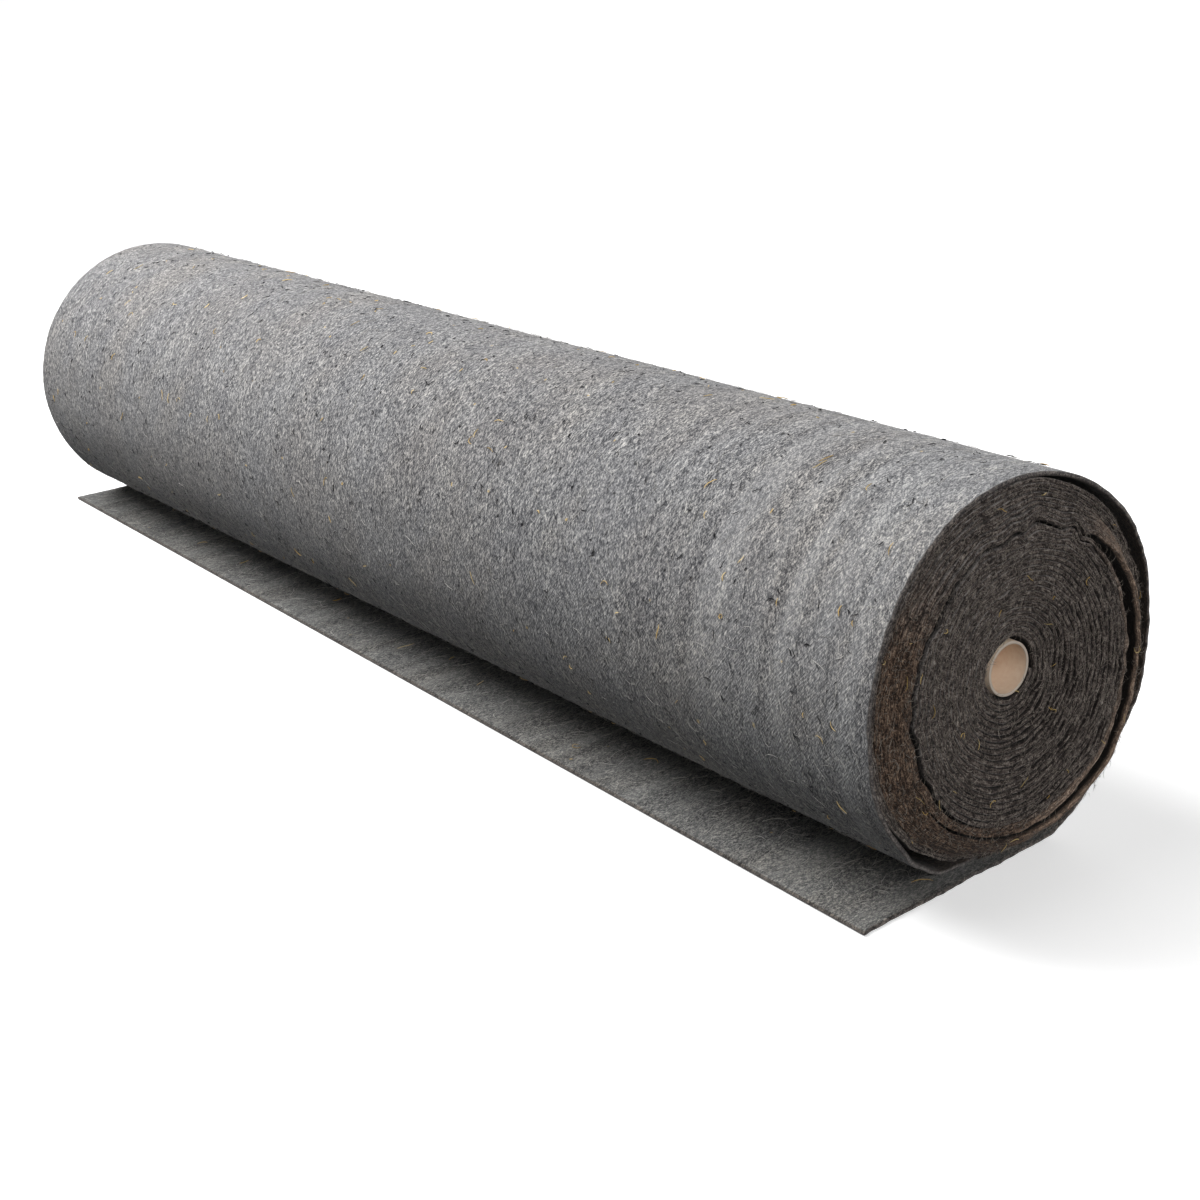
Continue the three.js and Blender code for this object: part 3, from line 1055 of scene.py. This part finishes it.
def felt_colour(tree, cloth):
    """Mottled blue-grey felt with dark, pale and coloured bits."""
    fibres = summed_grains(
        tree,
        cloth,
        (
            (3, 0.8, 3.6, 3, 0.27),
            (38, 0.7, 3.0, 11, 0.25),
            (-36, 0.7, 3.0, 23, 0.25),
            (80, 0.7, 2.0, 31, 0.23),
        ),
    )
    fibres = with_hairs(
        tree,
        cloth,
        remap(tree, fibres, 0.41, 0.59),
        (
            (12, 2.6, 15, 5, 0.45),
            (-24, 2.4, 13, 17, 0.4),
            (30, 2.6, 13, 41, -0.4),
            (-6, 2.6, 14, 53, -0.35),
        ),
        0.3,
    )
    colour = ramp(
        tree,
        remap(tree, fibres, -0.35, 1.35),
        [
            (0.0, (0.018, 0.018, 0.021)),
            (0.32, (0.093, 0.094, 0.101)),
            (0.52, (0.205, 0.205, 0.208)),
            (0.74, (0.375, 0.37, 0.365)),
            (1.0, (0.64, 0.62, 0.59)),
        ],
    )
    dark = remap(tree, stretched(tree, cloth, 8, 22, 55, 61, 2.0, 0.4), 0.3, 0.7)
    colour = tinted(tree, colour, (0.8, 0.8, 0.82), dark)
    warm = remap(tree, stretched(tree, cloth, -30, 45, 90, 71, 3.0), 0.4, 0.65)
    colour = tinted(tree, colour, (1.03, 1.0, 0.965), warm)
    return scatter_flecks(
        tree,
        cloth,
        colour,
        (
            (0.0045, 0.18, 0.26, (0.02, 0.02, 0.023), 0.85),
            (0.019, 0.085, 0.45, (0.008, 0.008, 0.009), 1.0),
            (0.009, 0.09, 0.3, (0.72, 0.7, 0.64), 0.75),
            (0.017, 0.07, 0.28, (0.56, 0.4, 0.15), 0.8),
        ),
    )


def make_face_felt():
    """The loose end: grey outer face with a paler band towards the near end that is partly painted
    light, browner inner face with painted shade where it is wound in, and dark, pale-haired cut edges.
    """
    material, tree, shader = new_material("mottled_felt", (0.27, 0.27, 0.27), 0.95, 0.12)
    cloth = add_node(tree, "UVMap", uv_map="cloth").outputs["UV"]
    colour = felt_colour(tree, cloth)
    place = add_node(tree, "SeparateXYZ", {"Vector": cloth})
    # a paler streaked band towards the near end: streaks of the felt, brightened there as painted light
    band = stretched(tree, cloth, 0, 13, 230, 83, 2.0)
    near = remap(tree, place.outputs["X"], 0.72, 0.93, 0.0, 1.0)
    band = calc(tree, "MULTIPLY", remap(tree, band, 0.38, 0.66), near)
    colour = blend(tree, calc(tree, "MULTIPLY", band, 0.3), colour, (0.42, 0.425, 0.43), "SCREEN")
    outer = attribute(tree, "outer_side")
    # the inner face is darker; past the tail, where it is wound in and seen only down the gap under the
    # last turn, it is browner and nearly black-brown, which is painted shade
    inside = tinted(tree, colour, (0.6, 0.6, 0.57))
    wound = remap(tree, attribute(tree, "turned"), 0.18, 0.22)
    inside = blend(tree, wound, inside, tinted(tree, colour, (0.2, 0.155, 0.12)))
    colour = blend(tree, remap(tree, outer, 0.02, 0.5), inside, colour)
    rim = calc(tree, "MULTIPLY", attribute(tree, "cut_rim"), 0.75)
    colour = tinted(tree, colour, (0.52, 0.44, 0.39), rim)
    tree.links.new(colour, shader.inputs["Base Color"])
    raise_fibres(tree, shader, cloth, 0.9, 5, 0.0005)
    return material


def make_cut_felt():
    """The wound layers: fuzzy brown-grey cut edges, with painted shade down between the layers and a
    partly painted highlight on the light band at the right.
    """
    material, tree, shader = new_material("cut_felt", (0.1, 0.085, 0.075), 0.97, 0.05)
    place = add_node(tree, "TexCoord").outputs["Object"]
    axes = add_node(tree, "SeparateXYZ", {"Vector": place})
    edges = add_node(tree, "SeparateXYZ", {"Vector": attribute(tree, "edge_places", "Vector")})
    depth = calc(
        tree,
        "MINIMUM",
        calc(tree, "SUBTRACT", edges.outputs["X"], axes.outputs["X"]),
        calc(tree, "SUBTRACT", axes.outputs["X"], edges.outputs["Y"]),
    )
    # fibres in the plane of the end, read across the roll
    end = add_node(
        tree, "CombineXYZ", {"X": axes.outputs["Y"], "Y": axes.outputs["Z"], "Z": axes.outputs["X"]}
    ).outputs[0]
    fibres = summed_grains(
        tree,
        end,
        (
            (0, 0.8, 2.2, 7, 0.26),
            (60, 0.8, 2.2, 19, 0.26),
            (-60, 0.8, 2.2, 37, 0.26),
            (20, 3.5, 6, 43, 0.22),
        ),
        0.3,
    )
    # and fibres that follow the wound layers
    cloth = add_node(tree, "UVMap", uv_map="cloth").outputs["UV"]
    following = calc(tree, "MULTIPLY", stretched(tree, cloth, 0, 0.5, 6, 67, 0.6, 0.3), 0.34)
    fibres = calc(tree, "ADD", calc(tree, "MULTIPLY", fibres, 0.66), following)
    fibres = with_hairs(
        tree,
        end,
        remap(tree, fibres, 0.438, 0.562),
        (
            (15, 2.2, 5, 5, 0.6),
            (-55, 2.1, 5, 17, 0.55),
            (-15, 2.4, 6, 59, -0.5),
        ),
        0.8,
    )
    colour = ramp(
        tree,
        remap(tree, fibres, -0.4, 1.5),
        [
            (0.0, (0.008, 0.006, 0.005)),
            (0.3, (0.034, 0.027, 0.025)),
            (0.48, (0.078, 0.062, 0.055)),
            (0.72, (0.19, 0.157, 0.137)),
            (1.0, (0.42, 0.375, 0.33)),
        ],
    )
    # each layer's outer face is the greyer one, and its hairs catch the light
    bands = add_node(tree, "SeparateXYZ", {"Vector": attribute(tree, "bands", "Vector")})
    share = attribute(tree, "layer_share")
    grey = remap(tree, share, 0.04, 0.26, 1.0, 0.0, smooth=True)
    loose = remap(tree, bands.outputs["X"], 0.0, 1.0, 0.95, 0.1)
    loose = calc(tree, "MULTIPLY", loose, remap(tree, fibres, -0.1, 1.0, 0.1, 1.0))
    grey = calc(tree, "MULTIPLY", grey, loose)
    colour = blend(tree, grey, colour, (0.33, 0.305, 0.293))
    # painted shade: each layer's inner side, next to the gap to the layer within, goes near-black, less
    # where the layers are felted together
    painted_gap_shade = remap(tree, share, 0.76, 0.98, 0.0, 1.0, smooth=True)
    painted_gap_shade = calc(tree, "MULTIPLY", painted_gap_shade, remap(tree, bands.outputs["X"], 0.0, 1.0, 0.85, 0.1))
    colour = blend(tree, painted_gap_shade, colour, (0.014, 0.011, 0.01))
    left = calc(tree, "MULTIPLY", bands.outputs["Y"], 0.9)
    colour = tinted(tree, colour, (0.95, 0.75, 0.59), left)
    # the light band on the right: partly a paler felt face, partly a painted highlight that brightens
    # it well past that where it faces the light
    light = blend(tree, 0.5, tinted(tree, colour, (3.2, 2.6, 2.15)), (0.31, 0.238, 0.185))
    colour = blend(tree, calc(tree, "MULTIPLY", bands.outputs["Z"], 0.9), colour, light)
    colour = scatter_flecks(
        tree,
        end,
        colour,
        (
            (0.005, 0.18, 0.3, (0.008, 0.007, 0.006), 0.9),
            (0.006, 0.1, 0.3, (0.45, 0.42, 0.38), 0.75),
        ),
    )
    # painted shade: the layers' faces go near-black from half a millimetre to a few millimetres in from
    # their cut edge, down in the gaps between them
    dark = remap(tree, depth, 0.0005, 0.0035, 0.0, 0.97, smooth=True)
    colour = blend(tree, dark, colour, (0.004, 0.0035, 0.003))
    tree.links.new(colour, shader.inputs["Base Color"])
    raise_fibres(tree, shader, end, 0.8, 2.6, 0.0006)
    return material


def make_cardboard():
    """Beige tube with a fuzzy off-white rim."""
    material, tree, shader = new_material("cardboard", (0.62, 0.52, 0.42), 0.9)
    place = add_node(tree, "TexCoord").outputs["Object"]
    grain = add_node(tree, "TexNoise", {"Vector": place, "Scale": 420.0, "Detail": 4.0}).outputs["Fac"]
    soft = add_node(tree, "TexNoise", {"Vector": place, "Scale": 60.0, "Detail": 2.0}).outputs["Fac"]
    colour = ramp(
        tree,
        calc(tree, "ADD", calc(tree, "MULTIPLY", grain, 0.6), calc(tree, "MULTIPLY", soft, 0.4)),
        [(0.3, (0.84, 0.63, 0.46)), (0.7, (0.95, 0.78, 0.61))],
    )
    axes = add_node(tree, "SeparateXYZ", {"Vector": place})
    from_middle = calc(tree, "ABSOLUTE", calc(tree, "SUBTRACT", axes.outputs["X"], MIDDLE_X * MM))
    half = CORE_LENGTH / 2 * MM
    rim = remap(tree, from_middle, half - 0.0006, half - 0.0002)
    colour = blend(tree, rim, colour, (0.72, 0.62, 0.52))
    tree.links.new(colour, shader.inputs["Base Color"])
    return material


def make_strand_material(name, dark, pale, roughness=0.85):
    """Strands that differ a little in tone from one to the next."""
    middle = tuple((first + second) / 2 for first, second in zip(dark, pale))
    material, tree, shader = new_material(name, middle, roughness)
    colour = ramp(tree, attribute(tree, "strand_shade"), [(0.0, dark), (1.0, pale)])
    tree.links.new(colour, shader.inputs["Base Color"])
    return material


face_felt = make_face_felt()
cut_felt = make_cut_felt()
card = make_cardboard()
pale_hair = make_strand_material("pale_hair", (0.26, 0.25, 0.24), (0.62, 0.6, 0.56))
dark_hair = make_strand_material("dark_hair", (0.006, 0.006, 0.007), (0.03, 0.03, 0.035))
brown_hair = make_strand_material("brown_hair", (0.03, 0.024, 0.02), (0.42, 0.37, 0.32))
straw = make_strand_material("straw", (0.56, 0.36, 0.11), (0.85, 0.66, 0.32), 0.6)
floor_paper, _, floor_shader = new_material("pale_floor", (0.83, 0.83, 0.83), 0.9)
floor_shader.inputs["Emission Color"].default_value = (1, 1, 1, 1)
floor_shader.inputs["Emission Strength"].default_value = 0.5

for piece, finish in ((windings, cut_felt), (loose_end, face_felt), (core, card)):
    piece.data.materials.append(finish)

for piece, node, slot in (
    (windings, "wound_fleece", "wound_fleece"),
    (loose_end, "loose_end", "fleece"),
    (core, "cardboard_core", "cardboard"),
):
    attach(piece, "root")
    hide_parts(node)


def add_strands(piece, finish):
    piece.data.materials.append(finish)
    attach(piece, "root")


# Each set of strands: its name, how many, their length, radius and arch in millimetres, its
# seed, and more rings where they curl
CURLED = 6
for piece, finish in (
    (strands_on_sheet("face_hairs_pale", 4200, (4, 13), (0.08, 0.14), (0, 0.2), 101), pale_hair),
    (strands_on_sheet("face_hairs_dark", 1300, (2, 6), (0.16, 0.34), (0, 0.1), 102), dark_hair),
    (
        strands_on_sheet("face_specks", 420, (1.2, 4.2), (0.28, 0.55), (0, 0.1), 110, spread=70),
        dark_hair,
    ),
    (strands_on_sheet("face_straw", 260, (2.5, 10), (0.18, 0.36), (0.05, 0.5), 103, CURLED), straw),
    (strands_on_sheet("tail_hairs", 900, (5, 16), (0.09, 0.17), (0, 0.25), 104, tail=True), pale_hair),
    (
        strands_on_sheet("tail_straw", 26, (5, 13), (0.2, 0.34), (0.1, 0.7), 105, CURLED, tail=True),
        straw,
    ),
):
    add_strands(piece, finish)

for piece, finish in (
    (strands_on_end("end_fuzz_near", "near", 7600, (2, 7), (0.07, 0.14), (0.1, 1.0), 106), brown_hair),
    (strands_on_end("end_fuzz_far", "far", 2600, (2, 7), (0.08, 0.15), (0.1, 0.9), 107), brown_hair),
    (strands_on_end("end_straw_near", "near", 40, (3, 9), (0.17, 0.3), (0.3, 1.4), 108, CURLED), straw),
    (strands_on_end("end_straw_far", "far", 26, (3, 9), (0.14, 0.26), (0.3, 1.4), 109, CURLED), straw),
):
    add_strands(piece, finish)

# Floor, light and camera
clear_selection()
bpy.ops.mesh.primitive_plane_add(size=60, location=(0, 0, 0))
floor = bpy.context.object
floor.name = "floor"
floor.data.materials.append(floor_paper)
# the floor throws no light back on the roll
floor.visible_diffuse = False
floor.visible_shadow = False

world = bpy.data.worlds.new("studio")
bpy.context.scene.world = world
world.use_nodes = True
sky = world.node_tree
facing = add_node(sky, "SeparateXYZ", {"Vector": add_node(sky, "TexCoord").outputs["Generated"]})
above = remap(sky, facing.outputs["Z"], -0.02, 0.02)
sky_colour = blend(sky, above, (0.02, 0.02, 0.02), (0.05, 0.05, 0.05))
seen = add_node(sky, "LightPath").outputs["Is Camera Ray"]
sky_colour = blend(sky, seen, sky_colour, (0.95, 0.95, 0.95))
sky.links.new(sky_colour, sky.nodes["Background"].inputs["Color"])


def add_sun(name, azimuth, elevation, strength, softness):
    """A soft light from far off, so the floor is evenly lit."""
    clear_selection()
    bpy.ops.object.light_add(type="SUN")
    lamp = bpy.context.object
    lamp.name = name
    lamp.data.energy = strength
    lamp.data.angle = math.radians(softness)
    turn, climb = math.radians(azimuth), math.radians(elevation)
    towards = (math.cos(turn) * math.cos(climb), math.sin(turn) * math.cos(climb), math.sin(climb))
    lamp.location = Vector(towards) * 3
    lamp.rotation_euler = Vector(towards).to_track_quat("Z", "Y").to_euler()


add_sun("key", -138, 58, 1.04, 40)
add_sun("end_fill", -15, 25, 1.4, 50)
add_sun("back_fill", 118, 18, 1.0, 60)

clear_selection()
bpy.ops.object.light_add(type="AREA", location=(-0.7, -0.6, 1.35))
far_fill = bpy.context.object
far_fill.name = "far_fill"
far_fill.data.energy = 30
far_fill.data.size = 0.9
towards_end = Vector((0, 0, 0.1)) - far_fill.location
far_fill.rotation_euler = towards_end.to_track_quat("-Z", "Y").to_euler()

# The camera's direction and distance, worked out from the roll's ends and straight outlines
CAMERA_AZIMUTH = 52.776
CAMERA_ELEVATION = 17.36
CAMERA_ROLL = -1.1324
CAMERA_DISTANCE = 1.246
CAMERA_TARGET = (165.1, 0, 109.3)
SENSOR_WIDTH = 36
LENS_LENGTH = 58.755
SHIFT_RIGHT = -0.01086
SHIFT_UP = -0.05533
azimuth, elevation, tilt = (
    math.radians(value) for value in (CAMERA_AZIMUTH, CAMERA_ELEVATION, CAMERA_ROLL)
)
back = Vector(
    (
        math.sin(azimuth) * math.cos(elevation),
        -math.cos(azimuth) * math.cos(elevation),
        math.sin(elevation),
    )
)
side = Vector((0, 0, 1)).cross(back).normalized()
upward = back.cross(side)
right = math.cos(tilt) * side + math.sin(tilt) * upward
upright = math.cos(tilt) * upward - math.sin(tilt) * side
target = Vector(placed(*CAMERA_TARGET)[0])
bpy.ops.object.camera_add()
camera = bpy.context.object
camera.matrix_world = Matrix.Translation(target + back * CAMERA_DISTANCE) @ Matrix(
    (right, upright, back)
).transposed().to_4x4()
camera.data.sensor_width = SENSOR_WIDTH
camera.data.lens = LENS_LENGTH
camera.data.shift_x = SHIFT_RIGHT
camera.data.shift_y = SHIFT_UP
camera.data.clip_end = 100
bpy.context.scene.camera = camera
bpy.context.scene.view_settings.view_transform = "Standard"
